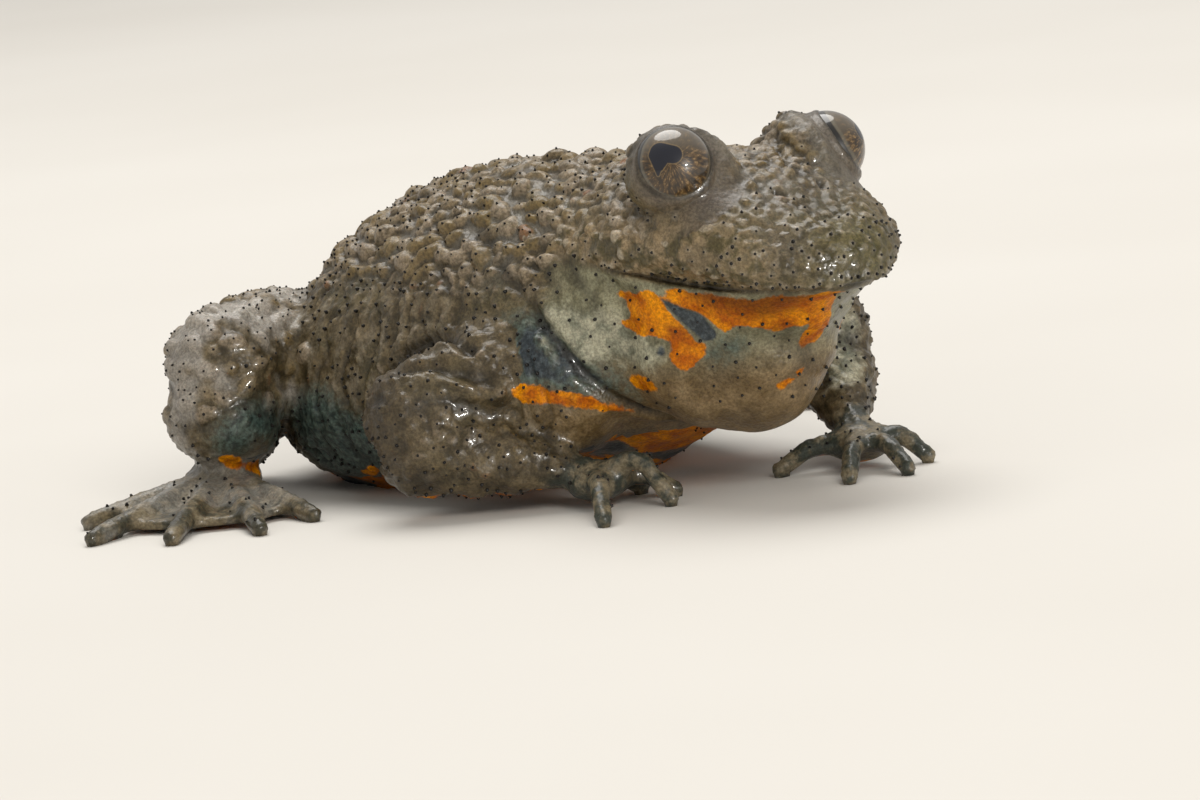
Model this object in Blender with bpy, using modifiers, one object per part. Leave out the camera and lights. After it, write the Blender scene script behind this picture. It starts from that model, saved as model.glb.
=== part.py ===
"""A life-size model of a fire-bellied toad, crouched on the floor with its head raised.

Blender 4.5, metres, +Z up. The snout points to -Y and the toad's left is +X.
Landmarks are given in millimetres as (forward, left, up): ahead of the eyes,
to the toad's left of its middle, and above the floor. At the end the whole
toad is moved so that its box stands over the origin.
"""

import colorsys
import math
import random

import bmesh
import bpy
from mathutils import Matrix, Vector
from mathutils.bvhtree import BVHTree

MM = 0.001
GAP = 0.3              # clear space between two nodes that touch
WELD = 0.004           # points this close are one

# Driving sizes of the animal, in millimetres
BODY_LENGTH = 50.0     # snout to vent, along the floor
SNOUT = 9.0            # how far the snout reaches ahead of the eyes
HEAD_WIDTH = 15.8      # across the angles of the jaw
BELLY_WIDTH = 24.6     # across the widest part of the trunk
BACK_HEIGHT = 19.0     # highest line of the back above the floor
EYE_RADIUS = 2.25
EYE_SPACING = 10.12    # between the centres of the two eye sockets
EYE_LEVEL = 19.1
EYE_TILT = 0.37        # the right eye is this much higher, the left one lower
EYES_AHEAD = -0.35
EYES_ASIDE = -0.15     # the head is turned a little, so both eyes lie this far to the right
EYE_PUSH = 0.9         # how far each eyeball stands out of its socket
EYE_AXIS = (0.56, 0.80, 0.22)
LID_RADIUS = 3.05
LID_EDGE = 2.75        # radius of the thick rim round the eyeball
RIM_AHEAD = 1.9        # from the middle of the socket to that rim
NOSTRIL_RADIUS = 0.38
LIP_GROOVE = 0.30      # radius of the groove that draws the mouth
WART_RADIUS = 1.25     # the largest warts, on the middle of the back
WART_RISE = 0.62       # height of a wart for its radius
FINGER_RADIUS = 0.58
TOE_RADIUS = 0.6
WEB = 0.6              # thickness of the skin between the toes

# Radii along each limb, from its root to its end
UPPER_ARM = (3.3, 3.3, 2.9)
FOREARM = (2.7, 2.6, 1.25)
THIGH = (4.0, 4.4, 3.4)
SHANK = (3.3, 3.3, 1.8)
TARSUS = (1.8, 1.5)


# Shapes

def place(forward, left, up):
    """A landmark of the toad as a point in metres."""
    return Vector((left, -forward, up)) * MM


def between(first, second, share):
    """The landmark at this share of the way from the first to the second."""
    return tuple(a + (b - a) * share for a, b in zip(first, second))


def add_shape(whole, piece):
    """Copies one closed shape into another and frees it."""
    mesh = bpy.data.meshes.new("piece")
    piece.to_mesh(mesh)
    piece.free()
    whole.from_mesh(mesh)
    bpy.data.meshes.remove(mesh)


def lump(centre, radii, pitch=0.0, yaw=0.0, fineness=3):
    """An ellipsoid. Its radii run forward, left and up, pitch lifts its front, yaw turns it left."""
    shape = bmesh.new()
    bmesh.ops.create_icosphere(shape, subdivisions=fineness, radius=1.0)
    turn = Matrix.Rotation(math.radians(yaw), 4, "Z") @ Matrix.Rotation(-math.radians(pitch), 4, "X")
    forward, left, up = radii
    size = Matrix.Diagonal((left * MM, forward * MM, up * MM, 1.0))
    move = Matrix.Translation(place(*centre))
    bmesh.ops.transform(shape, matrix=move @ turn @ size, verts=shape.verts)
    return shape


def tube(points, radii, sides=3, steps=4, round_ends=True):
    """A round limb along its points, as thick as the radius at each."""
    curve = bpy.data.curves.new("tube", "CURVE")
    curve.dimensions = "3D"
    curve.bevel_depth = MM
    curve.bevel_resolution = sides
    curve.use_fill_caps = True
    curve.resolution_u = steps
    spline = curve.splines.new("NURBS")
    spline.points.add(len(points) - 1)
    for knot, point, radius in zip(spline.points, points, radii):
        knot.co = (*place(*point), 1.0)
        knot.radius = radius
    spline.order_u = 3
    spline.use_endpoint_u = True
    guide = bpy.data.objects.new("tube", curve)
    bpy.context.scene.collection.objects.link(guide)
    graph = bpy.context.evaluated_depsgraph_get()
    graph.update()
    mesh = bpy.data.meshes.new_from_object(guide.evaluated_get(graph))
    bpy.data.objects.remove(guide)
    shape = bmesh.new()
    shape.from_mesh(mesh)
    bmesh.ops.remove_doubles(shape, verts=shape.verts, dist=1e-6)
    bmesh.ops.recalc_face_normals(shape, faces=shape.faces)
    if round_ends:
        for point, radius in ((points[0], radii[0]), (points[-1], radii[-1])):
            add_shape(shape, lump(point, (radius, radius, radius), fineness=2))
    return shape


def sheet(corners, thickness):
    """A flat web of skin between its corners."""
    shape = bmesh.new()
    for forward, left, up in corners:
        shape.verts.new(place(forward, left, up - thickness / 2))
        shape.verts.new(place(forward, left, up + thickness / 2))
    hull = bmesh.ops.convex_hull(shape, input=shape.verts)
    loose = [item for item in hull["geom_interior"] if isinstance(item, bmesh.types.BMVert)]
    bmesh.ops.delete(shape, geom=loose, context="VERTS")
    bmesh.ops.recalc_face_normals(shape, faces=shape.faces)
    return shape


def loft(stations, sides=28):
    """A body of oval sections: forward, half width, top, bottom and the level of its widest line."""
    shape = bmesh.new()
    rings = []
    for forward, half_width, top, bottom, level in stations:
        ring = []
        for step in range(sides):
            angle = 2 * math.pi * step / sides
            across = math.cos(angle)
            rise = math.sin(angle)
            reach = top - level if rise > 0 else level - bottom
            ring.append(shape.verts.new(place(forward, across * half_width, level + rise * reach)))
        rings.append(ring)
    for near, far in zip(rings, rings[1:]):
        for step in range(sides):
            after = (step + 1) % sides
            shape.faces.new((near[step], near[after], far[after], far[step]))
    shape.faces.new(reversed(rings[0]))
    shape.faces.new(rings[-1])
    bmesh.ops.recalc_face_normals(shape, faces=shape.faces)
    return shape


# Objects

def object_of(name, shape):
    """A new object that holds the shape."""
    mesh = bpy.data.meshes.new(name)
    shape.to_mesh(mesh)
    shape.free()
    thing = bpy.data.objects.new(name, mesh)
    bpy.context.scene.collection.objects.link(thing)
    return thing


def apply_modifiers(thing):
    graph = bpy.context.evaluated_depsgraph_get()
    graph.update()
    mesh = bpy.data.meshes.new_from_object(thing.evaluated_get(graph))
    thing.modifiers.clear()
    thing.data = mesh


def triangle_count(mesh):
    return sum(len(face.vertices) - 2 for face in mesh.polygons)


def thin_out(thing, triangles):
    """Leaves about this many triangles."""
    have = triangle_count(thing.data)
    if have > triangles:
        fewer = thing.modifiers.new("fewer", "DECIMATE")
        fewer.ratio = triangles / have
        apply_modifiers(thing)


def melt(name, shapes, voxel, rounds, triangles):
    """Melts closed shapes into one smooth solid."""
    whole = bmesh.new()
    for shape in shapes:
        add_shape(whole, shape)
    thing = object_of(name, whole)
    remesh = thing.modifiers.new("melt", "REMESH")
    remesh.mode = "VOXEL"
    remesh.voxel_size = voxel * MM
    relax = thing.modifiers.new("relax", "SMOOTH")
    relax.iterations = rounds
    relax.factor = 0.5
    apply_modifiers(thing)
    thin_out(thing, triangles)
    return thing


def keep_largest(thing):
    """Welds near points and leaves only the largest closed surface."""
    shape = bmesh.new()
    shape.from_mesh(thing.data)
    bmesh.ops.remove_doubles(shape, verts=shape.verts, dist=WELD * MM)
    bmesh.ops.dissolve_degenerate(shape, dist=WELD * MM, edges=shape.edges)
    waiting = set(shape.faces)
    islands = []
    while waiting:
        island = [waiting.pop()]
        for face in island:
            for edge in face.edges:
                for other in edge.link_faces:
                    if other in waiting:
                        waiting.remove(other)
                        island.append(other)
        islands.append(island)
    islands.sort(key=lambda island: sum(face.calc_area() for face in island))
    scraps = [face for island in islands[:-1] for face in island]
    bmesh.ops.delete(shape, geom=scraps, context="FACES")
    bmesh.ops.triangulate(shape, faces=shape.faces)
    shape.to_mesh(thing.data)
    shape.free()


def cut(thing, cutter, operation="DIFFERENCE", solver="EXACT"):
    """Cuts one object with another and removes the cutter."""
    change = thing.modifiers.new("cut", "BOOLEAN")
    change.operation = operation
    change.object = cutter
    change.solver = solver
    apply_modifiers(thing)
    bpy.data.objects.remove(cutter)
    keep_largest(thing)


def swollen(thing, by=GAP):
    """A cutter: the same solid, grown all round."""
    grown = bpy.data.objects.new("grown", thing.data.copy())
    bpy.context.scene.collection.objects.link(grown)
    grow = grown.modifiers.new("grow", "DISPLACE")
    grow.strength = by * MM
    grow.mid_level = 0.0
    apply_modifiers(grown)
    return grown


def make_way(thing, *neighbours):
    """Cuts the object back from its neighbours, so that it meets them face to face.

    A grown copy can cross itself in a tight hollow, which only the MANIFOLD solver bears.
    """
    for neighbour in neighbours:
        cut(thing, swollen(neighbour), solver="MANIFOLD")


def stand_on_floor(thing):
    """Flattens what would go through the floor."""
    ground = bmesh.new()
    bmesh.ops.create_cube(ground, size=0.2)
    bmesh.ops.translate(ground, vec=(0.0, 0.0, -0.1), verts=ground.verts)
    cut(thing, object_of("ground", ground))


def tree_of(thing):
    """The object's faces, for finding points on it."""
    return BVHTree.FromPolygons(
        [vertex.co for vertex in thing.data.vertices],
        [tuple(face.vertices) for face in thing.data.polygons],
    )


def on_skin(thing, start, direction):
    """The landmark where a line from another landmark meets the object."""
    point, _, _, _ = tree_of(thing).ray_cast(place(*start), place(*direction).normalized())
    return landmark(point)


def landmark(point):
    """The landmark of a point in metres."""
    return -point.y / MM, point.x / MM, point.z / MM


def add_warts(thing, spots):
    """Joins warts, each a low dome with its root sunk in, to the object. A spot is a point, normal and radius."""
    warts = bpy.data.collections.new("warts")
    bpy.context.scene.collection.children.link(warts)
    for point, normal, radius in spots:
        shape = bmesh.new()
        bmesh.ops.create_icosphere(shape, subdivisions=1, radius=radius * MM)
        squash = Matrix.Diagonal((1.0, 1.0, WART_RISE, 1.0))
        turn = normal.to_track_quat("Z", "Y").to_matrix().to_4x4()
        spin = Matrix.Rotation(radius * 97.0, 4, "Z")
        move = Matrix.Translation(point - normal * (0.1 * radius * MM))
        bmesh.ops.transform(shape, matrix=move @ turn @ squash @ spin, verts=shape.verts)
        mesh = bpy.data.meshes.new("wart")
        shape.to_mesh(mesh)
        shape.free()
        warts.objects.link(bpy.data.objects.new("wart", mesh))
    join = thing.modifiers.new("join", "BOOLEAN")
    join.operation = "UNION"
    join.operand_type = "COLLECTION"
    join.collection = warts
    join.solver = "EXACT"
    apply_modifiers(thing)
    for wart in list(warts.objects):
        bpy.data.objects.remove(wart)
    bpy.data.collections.remove(warts)
    keep_largest(thing)


# The file starts from an empty scene
for old in list(bpy.data.objects):
    bpy.data.objects.remove(old)

nodes = []

# Trunk and head, shaped as one body so that the nape runs through
half = BELLY_WIDTH / 2
back = BACK_HEIGHT
vent = SNOUT - BODY_LENGTH
trunk = loft((
    (vent, 1.8, 6.4, 3.0, 4.6),
    (vent + 1.6, 4.4, 8.8, 1.2, 4.6),
    (vent + 4.0, 7.4, 11.6, 0.0, 4.6),
    (vent + 7.5, 10.4, 14.6, -1.2, 4.8),
    (vent + 11.0, 12.3, 16.8, -1.8, 5.2),
    (vent + 14.0, half + 0.2, back - 1.2, -2.0, 5.6),
    (vent + 20.0, half, back - 0.1, -1.8, 6.4),
    (-16.0, 11.6, back + 0.2, -0.6, 7.6),
    (-12.0, 10.2, back + 0.2, 1.0, 8.8),
    (-8.0, 8.8, back + 0.2, 2.6, 10.2),
    (-5.0, 7.6, back + 0.1, 3.8, 11.2),
))
jaw = HEAD_WIDTH / 2
skull = loft((
    (-10.5, jaw - 0.9, back, 9.5, 13.4),
    (-5.0, jaw, back + 0.35, 12.6, 14.6),
    (-1.0, jaw - 0.1, 19.4, 12.5, 14.9),
    (2.5, jaw - 0.6, 18.7, 12.1, 14.7),
    (5.2, jaw - 1.8, 17.1, 11.8, 14.2),
    (SNOUT - 1.8, jaw - 3.6, 15.9, 11.6, 13.8),
    (SNOUT - 0.6, jaw - 5.4, 15.0, 11.7, 13.5),
    (SNOUT, jaw - 7.0, 14.3, 12.2, 13.3),
))
lower_jaw = lump((-2.2, 0, 11.2), (9.4, jaw - 0.6, 2.3), pitch=-5)
throat = lump((-2.3, 0, 8.9), (8.2, 7.2, 5.5), pitch=-12)
body_shapes = [trunk, skull, lower_jaw, throat]
for side in (-1, 1):
    body_shapes.append(lump((-11.5, side * 6.6, 7.6), (5.4, 4.2, 5.2)))

# Eye sockets: a round bulge, and a rim that stands up all round the eyeball
ahead, out, up = EYE_AXIS
eye_yaw = math.degrees(math.atan2(out, ahead))
eye_pitch = math.degrees(math.asin(up))


def along_eye(side, distance):
    """The landmark this far along the line of sight from the middle of the socket."""
    socket = EYE_LEVEL - side * EYE_TILT
    across = side * (EYE_SPACING / 2 + out * distance)
    return EYES_AHEAD + ahead * distance, EYES_ASIDE + across, socket + up * distance


for side in (-1, 1):
    body_shapes.append(lump(along_eye(side, 0), (LID_RADIUS, LID_RADIUS, LID_RADIUS)))
    rim = (0.9, LID_EDGE, LID_EDGE)
    body_shapes.append(lump(along_eye(side, RIM_AHEAD), rim, pitch=eye_pitch, yaw=side * eye_yaw))
body = melt("body", body_shapes, voxel=0.36, rounds=4, triangles=4200)
form = bpy.data.objects.new("form", body.data.copy())  # uncut, for carving the limbs to meet it
stand_on_floor(body)

# Eyeballs
for side, name in ((-1, "eye_right"), (1, "eye_left")):
    centre = along_eye(side, EYE_PUSH)
    ball = object_of(name, lump(centre, (EYE_RADIUS,) * 3))
    nodes.append(ball)
    room = EYE_RADIUS + GAP
    cut(body, object_of("room", lump(centre, (room,) * 3)))

# Nostrils, two pits on the slope of the snout
for side in (-1, 1):
    pit = lump(on_skin(body, (4.3, side * 1.5, 30), (0, 0, -1)), (NOSTRIL_RADIUS,) * 3, fineness=2)
    cut(body, object_of("pit", pit))

# Line of the mouth, a groove that follows the edge of the upper lip from corner to corner
lip = []
for step in range(-10, 11):
    turn = math.radians(step * 11.5)
    level = 12.1 + 1.5 * (abs(step) / 10) ** 1.6
    lip.append(on_skin(body, (-2.5, 0, level), (math.cos(turn), math.sin(turn), 0)))
groove = tube(lip, [LIP_GROOVE] * len(lip), sides=0, steps=1, round_ends=False)
cut(body, object_of("groove", groove))

# Head and torso part along a curved cut: down behind the jaw and forward under the throat
CUT_CENTRE = (3.0, 0.0, 16.0)
CUT_RADII = (14.0, 20.0, 14.5)
head = body
head.name = "head"
torso = bpy.data.objects.new("torso", body.data.copy())
bpy.context.scene.collection.objects.link(torso)
cut(head, object_of("inside", lump(CUT_CENTRE, CUT_RADII)), "INTERSECT")
cut(torso, object_of("outside", lump(CUT_CENTRE, [radius + GAP for radius in CUT_RADII])))
thin_out(head, 2500)
keep_largest(head)
nodes += [head, torso]


# Fore limbs
def fore_limb(name, shoulder, elbow, wrist, tips, arches):
    """Upper arm, forearm and hand. Each finger rises to its arch and comes down to its tip."""
    middle = between(shoulder, elbow, 0.5)
    upper = melt(
        "upper_arm_" + name,
        [tube((shoulder, middle, elbow), UPPER_ARM), lump(elbow, (3.0, 2.8, 2.8))],
        voxel=0.4, rounds=4, triangles=200,
    )
    low_elbow = (elbow[0] + 0.4, elbow[1], elbow[2] - 2.0)
    middle = between(low_elbow, wrist, 0.45)
    forearm = melt(
        "forearm_" + name,
        [tube((low_elbow, middle, wrist), FOREARM)],
        voxel=0.35, rounds=3, triangles=200,
    )
    palm = between(wrist, between((*tips[1], 0.8), (*tips[2], 0.8), 0.5), 0.3)
    palm = (palm[0], palm[1], 1.5)
    pieces = [lump(palm, (2.0, 2.0, 1.2)), tube((wrist, palm), (FOREARM[-1], 1.2), sides=2)]
    for tip, arch in zip(tips, arches):
        end = (*tip, FINGER_RADIUS * 0.7)
        knuckle = (*between(palm, end, 0.55)[:2], arch)
        pieces.append(tube(
            (palm, knuckle, between(knuckle, end, 0.6), end),
            (0.8, FINGER_RADIUS * 1.1, FINGER_RADIUS, FINGER_RADIUS),
            sides=2,
        ))
    hand = melt("hand_" + name, pieces, voxel=0.22, rounds=2, triangles=420)
    for part in (upper, forearm, hand):
        stand_on_floor(part)
    make_way(upper, form)
    make_way(forearm, form, upper)
    make_way(hand, form, upper, forearm)
    nodes.extend((upper, forearm, hand))


fore_limb(
    "right",
    shoulder=(-11.5, -7.0, 8.8),
    elbow=(-15.4, -14.4, 6.0),
    wrist=(-8.6, -9.0, 2.4),
    tips=((-8.0, -3.9), (-4.9, -3.9), (-2.5, -6.3), (-1.0, -12.6)),
    arches=(1.4, 1.8, 3.3, 2.2),
)
fore_limb(
    "left",
    shoulder=(-11.0, 6.6, 9.4),
    elbow=(-8.4, 11.4, 7.4),
    wrist=(-3.2, 8.4, 2.6),
    tips=((-3.6, 2.9), (2.9, 2.6), (4.2, 6.0), (2.0, 9.6)),
    arches=(1.7, 1.9, 1.9, 2.1),
)


# Hind limbs, folded beside the vent with the webbed feet turned outwards
def hind_limb(name, side, knee, tips):
    """Thigh, shank, tarsus and foot."""
    hip = (vent + 4.4, side * 4.6, 7.4)
    heel = (vent + 1.6, side * 9.0, 2.8)
    instep = (knee[0] - 1.2, side * 15.6, 1.5)
    knee = (knee[0], side * knee[1], knee[2])
    middle = between(hip, knee, 0.5)
    thigh = melt(
        "thigh_" + name,
        [tube((hip, middle, knee), THIGH), lump(knee, (3.5, 3.5, 3.2))],
        voxel=0.4, rounds=4, triangles=260,
    )
    low_knee = (knee[0] + 0.2, knee[1] + side * 0.4, knee[2] - 3.0)
    middle = between(low_knee, heel, 0.45)
    shank = melt(
        "shank_" + name,
        [tube((low_knee, middle, heel), SHANK), lump(low_knee, (3.6, 3.5, 3.2))],
        voxel=0.4, rounds=4, triangles=260,
    )
    tarsus = melt(
        "tarsus_" + name,
        [tube((heel, instep), TARSUS)],
        voxel=0.35, rounds=3, triangles=180,
    )
    pieces = [lump(instep, (2.6, 2.4, 1.3))]
    ends = [(forward, side * left, TOE_RADIUS * 0.7) for forward, left in tips]
    for end in ends:
        knuckle = (*between(instep, end, 0.5)[:2], 1.25)
        pieces.append(tube((instep, knuckle, end), (1.0, TOE_RADIUS * 1.2, TOE_RADIUS), sides=2))
    for first, second in zip(ends, ends[1:]):
        root = (instep[0], instep[1], 0.9)
        corners = (
            root,
            between(root, first, 0.75),
            between(root, second, 0.75),
            between(root, between(first, second, 0.5), 0.62),
        )
        pieces.append(sheet(corners, WEB))
    foot = melt("foot_" + name, pieces, voxel=0.24, rounds=2, triangles=520)
    for part in (thigh, shank, tarsus, foot):
        stand_on_floor(part)
    make_way(thigh, form)
    make_way(shank, form, thigh)
    make_way(tarsus, form, thigh, shank)
    make_way(foot, form, thigh, shank, tarsus)
    nodes.extend((thigh, shank, tarsus, foot))
    return thigh, hip, knee


thigh_right = hind_limb(
    "right", -1, (-31.8, 15.6, 8.6),
    tips=((-21.6, 17.6), (-21.0, 22.0), (-24.0, 26.2), (-29.2, 28.2), (-34.6, 24.6)),
)
thigh_left = hind_limb(
    "left", 1, (-31.0, 16.0, 8.4),
    tips=((-21.2, 18.2), (-20.4, 22.8), (-23.2, 27.0), (-28.4, 29.0), (-34.0, 25.4)),
)

bpy.data.objects.remove(form)


# Warts, set on the finished parts where they stay clear of their neighbours
draw = random.Random(7)
crust = {thing.name: tree_of(thing) for thing in nodes}


def wart_on(thing, forward, left, radius, slope=0.45):
    """A spot for a wart on top of the part, or nothing where it would not fit."""
    point, normal, _, _ = crust[thing.name].ray_cast(place(forward, left, 30), Vector((0, 0, -1)))
    if point is None or normal.z < slope:
        return []
    for name, tree in crust.items():
        if name != thing.name:
            _, _, _, distance = tree.find_nearest(point)
            if distance < (radius + GAP) * MM:
                return []
    return [(point, normal, radius)]


# On the back they are largest along the middle
NAPE = -12.0
BACK_STEP = 2.6
spots = []
for row in range(11):
    for column in range(-3, 4):
        forward = NAPE - row * BACK_STEP + draw.uniform(-0.5, 0.5)
        left = (column + 0.5 * (row % 2)) * BACK_STEP * 1.08 + draw.uniform(-0.5, 0.5)
        radius = WART_RADIUS * (1.0 - 0.03 * abs(left)) * draw.uniform(0.75, 1.0)
        spots += wart_on(torso, forward, left, radius)
add_warts(torso, spots)

# On the crown and nape they are smaller, between and behind the eyes
CROWN = 1.8
CROWN_STEP = 2.1
spots = []
for row in range(5):
    for column in range(-3, 4):
        forward = CROWN - row * CROWN_STEP + draw.uniform(-0.4, 0.4)
        left = (column + 0.5 * (row % 2)) * CROWN_STEP + draw.uniform(-0.4, 0.4)
        radius = 0.8 * draw.uniform(0.75, 1.0)
        beside = abs(left - EYES_ASIDE) - EYE_SPACING / 2
        if math.hypot(forward - EYES_AHEAD, beside) > LID_RADIUS + radius + EYE_TILT:
            spots += wart_on(head, forward, left, radius)
add_warts(head, spots)

# On the thighs they stand in a few rows along the top
for thigh, hip, knee in (thigh_right, thigh_left):
    spots = []
    for row in range(3):
        for column in (-0.5, 0.5):
            centre = between(hip, knee, 0.4 + row * 0.28)
            forward = centre[0] + column * 2.8 + draw.uniform(-0.4, 0.4)
            radius = 0.95 * draw.uniform(0.75, 1.0)
            spots += wart_on(thigh, forward, centre[1], radius)
    add_warts(thigh, spots)


# Origin under the middle of the whole toad, on the floor
corners = [thing.matrix_world @ Vector(corner) for thing in nodes for corner in thing.bound_box]
low = Vector([min(corner[axis] for corner in corners) for axis in range(3)])
high = Vector([max(corner[axis] for corner in corners) for axis in range(3)])
SHIFT = Vector((-(low.x + high.x) / 2, -(low.y + high.y) / 2, -low.z))
for thing in nodes:
    thing.data.transform(Matrix.Translation(SHIFT))

# One collection, and a material for each node
SKIN_HUE = 0.105
toad = bpy.data.collections.new("fire_bellied_toad")
bpy.context.scene.collection.children.link(toad)
for order, thing in enumerate(nodes):
    bpy.context.scene.collection.objects.unlink(thing)
    toad.objects.link(thing)
    coat = bpy.data.materials.new("surface of " + thing.name)
    coat.use_nodes = True
    shader = coat.node_tree.nodes["Principled BSDF"]
    if thing.name.startswith("eye"):
        shader.inputs["Base Color"].default_value = (0.05, 0.035, 0.015, 1.0)
        shader.inputs["Roughness"].default_value = 0.08
    else:
        colour = colorsys.hsv_to_rgb(SKIN_HUE, 0.38, 0.16 + 0.005 * (order % 4))
        shader.inputs["Base Color"].default_value = (*colour, 1.0)
        shader.inputs["Roughness"].default_value = 0.42
    shader.inputs["Metallic"].default_value = 0.0
    thing.data.materials.clear()
    thing.data.materials.append(coat)
    thing.data.shade_smooth()
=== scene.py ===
import math

import bmesh
import bpy
import numpy as np
from mathutils import Matrix, Vector
from mathutils.kdtree import KDTree


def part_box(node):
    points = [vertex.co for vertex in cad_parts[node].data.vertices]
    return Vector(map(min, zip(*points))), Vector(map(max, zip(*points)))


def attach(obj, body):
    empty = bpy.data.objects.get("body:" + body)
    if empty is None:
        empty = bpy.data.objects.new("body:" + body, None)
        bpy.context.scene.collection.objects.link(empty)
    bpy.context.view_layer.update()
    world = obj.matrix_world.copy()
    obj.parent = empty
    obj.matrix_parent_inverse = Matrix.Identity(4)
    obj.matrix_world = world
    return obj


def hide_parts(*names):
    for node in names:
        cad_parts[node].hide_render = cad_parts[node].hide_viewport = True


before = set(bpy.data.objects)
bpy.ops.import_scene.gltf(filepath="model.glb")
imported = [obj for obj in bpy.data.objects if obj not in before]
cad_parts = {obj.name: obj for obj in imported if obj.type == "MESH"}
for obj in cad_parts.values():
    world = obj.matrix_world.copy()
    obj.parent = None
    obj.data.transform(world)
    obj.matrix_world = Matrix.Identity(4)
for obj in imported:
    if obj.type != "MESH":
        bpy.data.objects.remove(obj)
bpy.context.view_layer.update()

# The hide. One moist skin covers trunk, head and limbs without a seam. It is cast over the
# fixed solids: they are swollen until they run together, melted into one surface, and the
# surface is drawn back in, a little less than the height of the warts that stand on it.
MM = 0.001
SWELL = 0.22 * MM        # more than half of the gap between two solids
DRAW_IN = 0.24 * MM      # on smooth skin
KNOBBY = 0.30 * MM       # drawn in this much more under the tall warts of the back
CROWN_RISE = 0.15 * MM   # the crown between the eyes stands this much higher than the solid
STITCH = 0.16 * MM      # the size of the hide's mesh
SOFT_EDGE = 0.9 * MM     # over this width the skin of one part passes into the next
HIDE_TRIANGLES = 196000


def middle_of(node):
    low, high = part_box(node)
    return (low + high) / 2


EYES_AHEAD = 0.15        # where the balls' middle lies among the landmarks, in millimetres
EYES_ASIDE = -0.15
between_eyes = (middle_of("eye_right") + middle_of("eye_left")) / 2


def site(ahead, left, up):
    """A place on the toad: millimetres ahead of the eye sockets, left of the middle, above the floor."""
    across = between_eyes.x + (left - EYES_ASIDE) * MM
    along = between_eyes.y - (ahead - EYES_AHEAD) * MM
    return Vector((across, along, up * MM))


def sites_of(spots):
    """The same three measures, in millimetres, of an array of points."""
    ahead = (between_eyes.y - spots[:, 1]) / MM + EYES_AHEAD
    left = (spots[:, 0] - between_eyes.x) / MM + EYES_ASIDE
    return np.stack((ahead, left, spots[:, 2] / MM), axis=1)


def settle(thing):
    """Applies the piece's modifiers."""
    graph = bpy.context.evaluated_depsgraph_get()
    graph.update()
    mesh = bpy.data.meshes.new_from_object(thing.evaluated_get(graph))
    thing.modifiers.clear()
    thing.data = mesh


def largest_shell(thing):
    """Drops every closed surface but the largest, such as small voids between the melted solids."""
    shape = bmesh.new()
    shape.from_mesh(thing.data)
    shells = []
    seen = set()
    for start in shape.verts:
        if start in seen:
            continue
        seen.add(start)
        shell = [start]
        for point in shell:
            for edge in point.link_edges:
                other = edge.other_vert(point)
                if other not in seen:
                    seen.add(other)
                    shell.append(other)
        shells.append(shell)
    shells.sort(key=len)
    scraps = [point for shell in shells[:-1] for point in shell]
    bmesh.ops.delete(shape, geom=scraps, context="VERTS")
    shape.to_mesh(thing.data)
    shape.free()


def points_of(mesh):
    spots = np.empty(len(mesh.vertices) * 3)
    mesh.vertices.foreach_get("co", spots)
    return spots.reshape(-1, 3)


def normals_of(mesh):
    facing = np.empty(len(mesh.vertices) * 3, np.float32)
    mesh.vertex_normals.foreach_get("vector", facing)
    return facing.reshape(-1, 3).astype(float)


def ends_of(mesh):
    """The two points of each edge."""
    ends = np.empty(len(mesh.edges) * 2, np.int64)
    mesh.edges.foreach_get("vertices", ends)
    return ends.reshape(-1, 2)


def move_to(mesh, spots):
    mesh.vertices.foreach_set("co", spots.astype(np.float32).ravel())
    mesh.update()


def rise(values, start, span):
    """0 up to the start, 1 from the start plus the span on, and even between them."""
    return np.clip((values - start) / span, 0, 1)


def fall(values, end, span):
    """1 as far as the end less the span, 0 from the end on, and even between them."""
    return np.clip((end - values) / span, 0, 1)


def search_tree(points):
    """Finds which of these points lies nearest to a place, by its number."""
    found = KDTree(len(points))
    for number, point in enumerate(points):
        found.insert(point, number)
    found.balance()
    return found


def put_in_scene(title, shape):
    """A new object with this shape."""
    thing = bpy.data.objects.new(title, bpy.data.meshes.new(title))
    bpy.context.scene.collection.objects.link(thing)
    shape.to_mesh(thing.data)
    shape.free()
    return thing


def relax(values, ends, share, rounds):
    """Draws each point's values towards the mean of its neighbours."""
    first, second = ends[:, 0], ends[:, 1]
    count = np.bincount(ends.ravel(), minlength=len(values))
    values = values.copy()
    for _ in range(rounds):
        for column in range(values.shape[1]):
            one = values[:, column]
            total = np.bincount(first, one[second], len(one))
            total = total + np.bincount(second, one[first], len(one))
            values[:, column] = one + share * (total / count - one)
    return values


flesh = bmesh.new()
names = sorted(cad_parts)
for name in names:
    solid = bmesh.new()
    solid.from_mesh(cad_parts[name].data)
    bmesh.ops.remove_doubles(solid, verts=solid.verts, dist=0.001 * MM)
    solid.normal_update()
    for point in solid.verts:
        point.co += point.normal * SWELL
    swollen = bpy.data.meshes.new(name)
    solid.to_mesh(swollen)
    solid.free()
    flesh.from_mesh(swollen)
    bpy.data.meshes.remove(swollen)
skin = put_in_scene("skin", flesh)


def melt_together(thing):
    """Turns crossing surfaces into one closed surface of even mesh."""
    melt = thing.modifiers.new("melt", "REMESH")
    melt.mode = "VOXEL"
    melt.voxel_size = STITCH
    settle(thing)
    largest_shell(thing)


melt_together(skin)

# Which solid each point of the hide lies over
solid_points = []
owner = []
for number, name in enumerate(names):
    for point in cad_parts[name].data.vertices:
        solid_points.append(point.co)
        owner.append(number)
nearby = search_tree(solid_points)
spots = points_of(skin.data)
owned = np.array([owner[nearby.find(spot)[1]] for spot in spots])
ends = ends_of(skin.data)
softly = int(round((SOFT_EDGE / STITCH) ** 2))


def over(*starts):
    """1 where a point lies over a solid whose name starts so, and 0 elsewhere."""
    chosen = [name.startswith(starts) for name in names]
    return np.array(chosen, float)[owned]


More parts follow.
